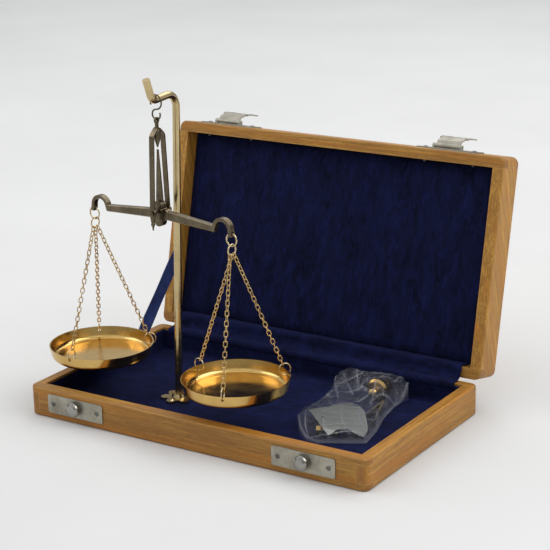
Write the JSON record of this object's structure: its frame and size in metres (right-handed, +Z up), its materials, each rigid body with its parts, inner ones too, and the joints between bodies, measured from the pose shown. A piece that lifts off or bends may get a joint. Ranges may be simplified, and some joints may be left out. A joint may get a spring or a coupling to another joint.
{
  "type": "jeweller's hand scale",
  "caption": "Brass equal-arm hand scale hung from a bent post in its open wooden case, with chained pans, velvet lining and a pouch of weights.",
  "frame": {"origin": "centre of the case's footprint on its underside", "axes": "+X to the right along the case, -Y to the front where the catches are, +Z up"},
  "size_m": [0.2262, 0.1834, 0.195],
  "materials": {
    "wood": "oiled, satin, open grain",
    "velvet": "royal blue velvet pile",
    "padding": "cotton wadding, hidden",
    "ribbon": "navy satin ribbon",
    "hinge_steel": "plain pressed steel",
    "nickel": "dull nickel plate",
    "brass": "polished",
    "bronze": "dark antique, worn edges",
    "chain_brass": "bright, lightly tarnished",
    "film": "clear crumpled film"
  },
  "bodies": {
    "case_base": {"base_front_wall": "wood", "base_back_wall": "wood", "base_left_wall": "wood", "base_right_wall": "wood", "base_floor_board": "wood", "base_velvet_lining": "velvet", "hinge_velvet": "velvet", "lid_ribbon": "ribbon", "left_hinge_base_leaf": "hinge_steel", "right_hinge_base_leaf": "hinge_steel", "left_hinge_pin": "hinge_steel", "right_hinge_pin": "hinge_steel", "hinge_base_screws": "hinge_steel", "left_catch_plate": "nickel", "left_catch_stud": "nickel", "right_catch_plate": "nickel", "right_catch_stud": "nickel", "catch_nails": "nickel", "foot_plate": "brass", "foot_screws": "brass"},
    "case_lid": {"lid_front_wall": "wood", "lid_back_wall": "wood", "lid_left_wall": "wood", "lid_right_wall": "wood", "lid_top_board": "wood", "lid_padding": "padding", "lid_velvet_panel": "velvet", "left_hinge_lid_leaf": "hinge_steel", "right_hinge_lid_leaf": "hinge_steel", "hinge_lid_screws": "hinge_steel", "left_latch_plate": "nickel", "left_latch_pin": "nickel", "right_latch_plate": "nickel", "right_latch_pin": "nickel", "latch_nails": "nickel"},
    "left_hasp_body": {"left_hasp": "nickel"},
    "right_hasp_body": {"right_hasp": "nickel"},
    "post_body": {"post": "brass"},
    "hook_body": {"s_hook": "bronze"},
    "shears_body": {"shears": "bronze"},
    "beam_body": {"beam": "bronze", "beam_pivot": "bronze"},
    "left_ring_body": {"left_beam_ring": "bronze"},
    "left_pan_body": {"left_chain_ring": "chain_brass", "left_front_chain": "chain_brass", "left_back_chain": "chain_brass", "left_side_chain": "chain_brass", "left_pan": "brass", "left_pan_rings": "chain_brass"},
    "right_ring_body": {"right_beam_ring": "bronze"},
    "right_pan_body": {"right_chain_ring": "chain_brass", "right_front_chain": "chain_brass", "right_back_chain": "chain_brass", "right_side_chain": "chain_brass", "right_pan": "brass", "right_pan_rings": "chain_brass"},
    "pouch_body": {"weight_pouch": "film", "large_knob_weight": "brass", "small_knob_weights": "brass", "tweezers": "nickel"}
  },
  "joints": [
    {"name": "lid_hinge", "type": "hinge", "parent": "case_base", "child": "case_lid", "pos_m": [0, 0.064, 0.0174], "axis": [1, 0, 0], "range_deg": [0, 40], "deforming": ["lid_ribbon", "hinge_velvet"]},
    {"name": "post_swivel", "type": "hinge", "parent": "case_base", "child": "post_body", "pos_m": [-0.04348, -0.0111, 0.00515], "axis": [0.0349, 0, 0.9994], "range_deg": [-12, 12]},
    {"name": "hook_swing", "type": "hinge", "parent": "post_body", "child": "hook_body", "pos_m": [-0.0366, -0.0306, 0.18429], "axis": [0.0976, 0.9952, 0], "range_deg": [-2, 2]},
    {"name": "shears_swing", "type": "hinge", "parent": "hook_body", "child": "shears_body", "pos_m": [-0.0366, -0.0306, 0.1714], "axis": [0.9952, -0.0976, 0], "range_deg": [-2, 2]},
    {"name": "beam_tilt", "type": "hinge", "parent": "shears_body", "child": "beam_body", "pos_m": [-0.0366, -0.0306, 0.1208], "axis": [0.0976, 0.9952, 0], "range_deg": [-6.5, 6.5]},
    {"name": "left_ring_swing", "type": "hinge", "parent": "beam_body", "child": "left_ring_body", "pos_m": [-0.08626, -0.02573, 0.1159], "axis": [0.9952, -0.0976, 0], "range_deg": [-2.5, 2.5]},
    {"name": "left_pan_swing", "type": "hinge", "parent": "left_ring_body", "child": "left_pan_body", "pos_m": [-0.08626, -0.02573, 0.10952], "axis": [0.0976, 0.9952, 0], "range_deg": [-7, 7]},
    {"name": "right_ring_swing", "type": "hinge", "parent": "beam_body", "child": "right_ring_body", "pos_m": [0.01306, -0.03547, 0.1159], "axis": [0.9952, -0.0976, 0], "range_deg": [-2.5, 2.5]},
    {"name": "right_pan_swing", "type": "hinge", "parent": "right_ring_body", "child": "right_pan_body", "pos_m": [0.01306, -0.03547, 0.10952], "axis": [0.0976, 0.9952, 0], "range_deg": [-7, 7]},
    {"name": "left_hasp_hinge", "type": "hinge", "parent": "case_lid", "child": "left_hasp_body", "pos_m": [-0.077, 0.0965, 0.14263], "axis": [1, 0, 0], "range_deg": [0, 140]},
    {"name": "right_hasp_hinge", "type": "hinge", "parent": "case_lid", "child": "right_hasp_body", "pos_m": [0.0726, 0.0965, 0.14263], "axis": [1, 0, 0], "range_deg": [0, 140]},
    {"name": "pouch_lift", "type": "slide", "parent": "case_base", "child": "pouch_body", "axis": [0, 0, 1], "range_m": [0, 0.04]}
  ],
  "couplings": [
    {"joint": "left_pan_swing", "follows": "beam_tilt", "ratio": -1},
    {"joint": "right_pan_swing", "follows": "beam_tilt", "ratio": -1}
  ]
}
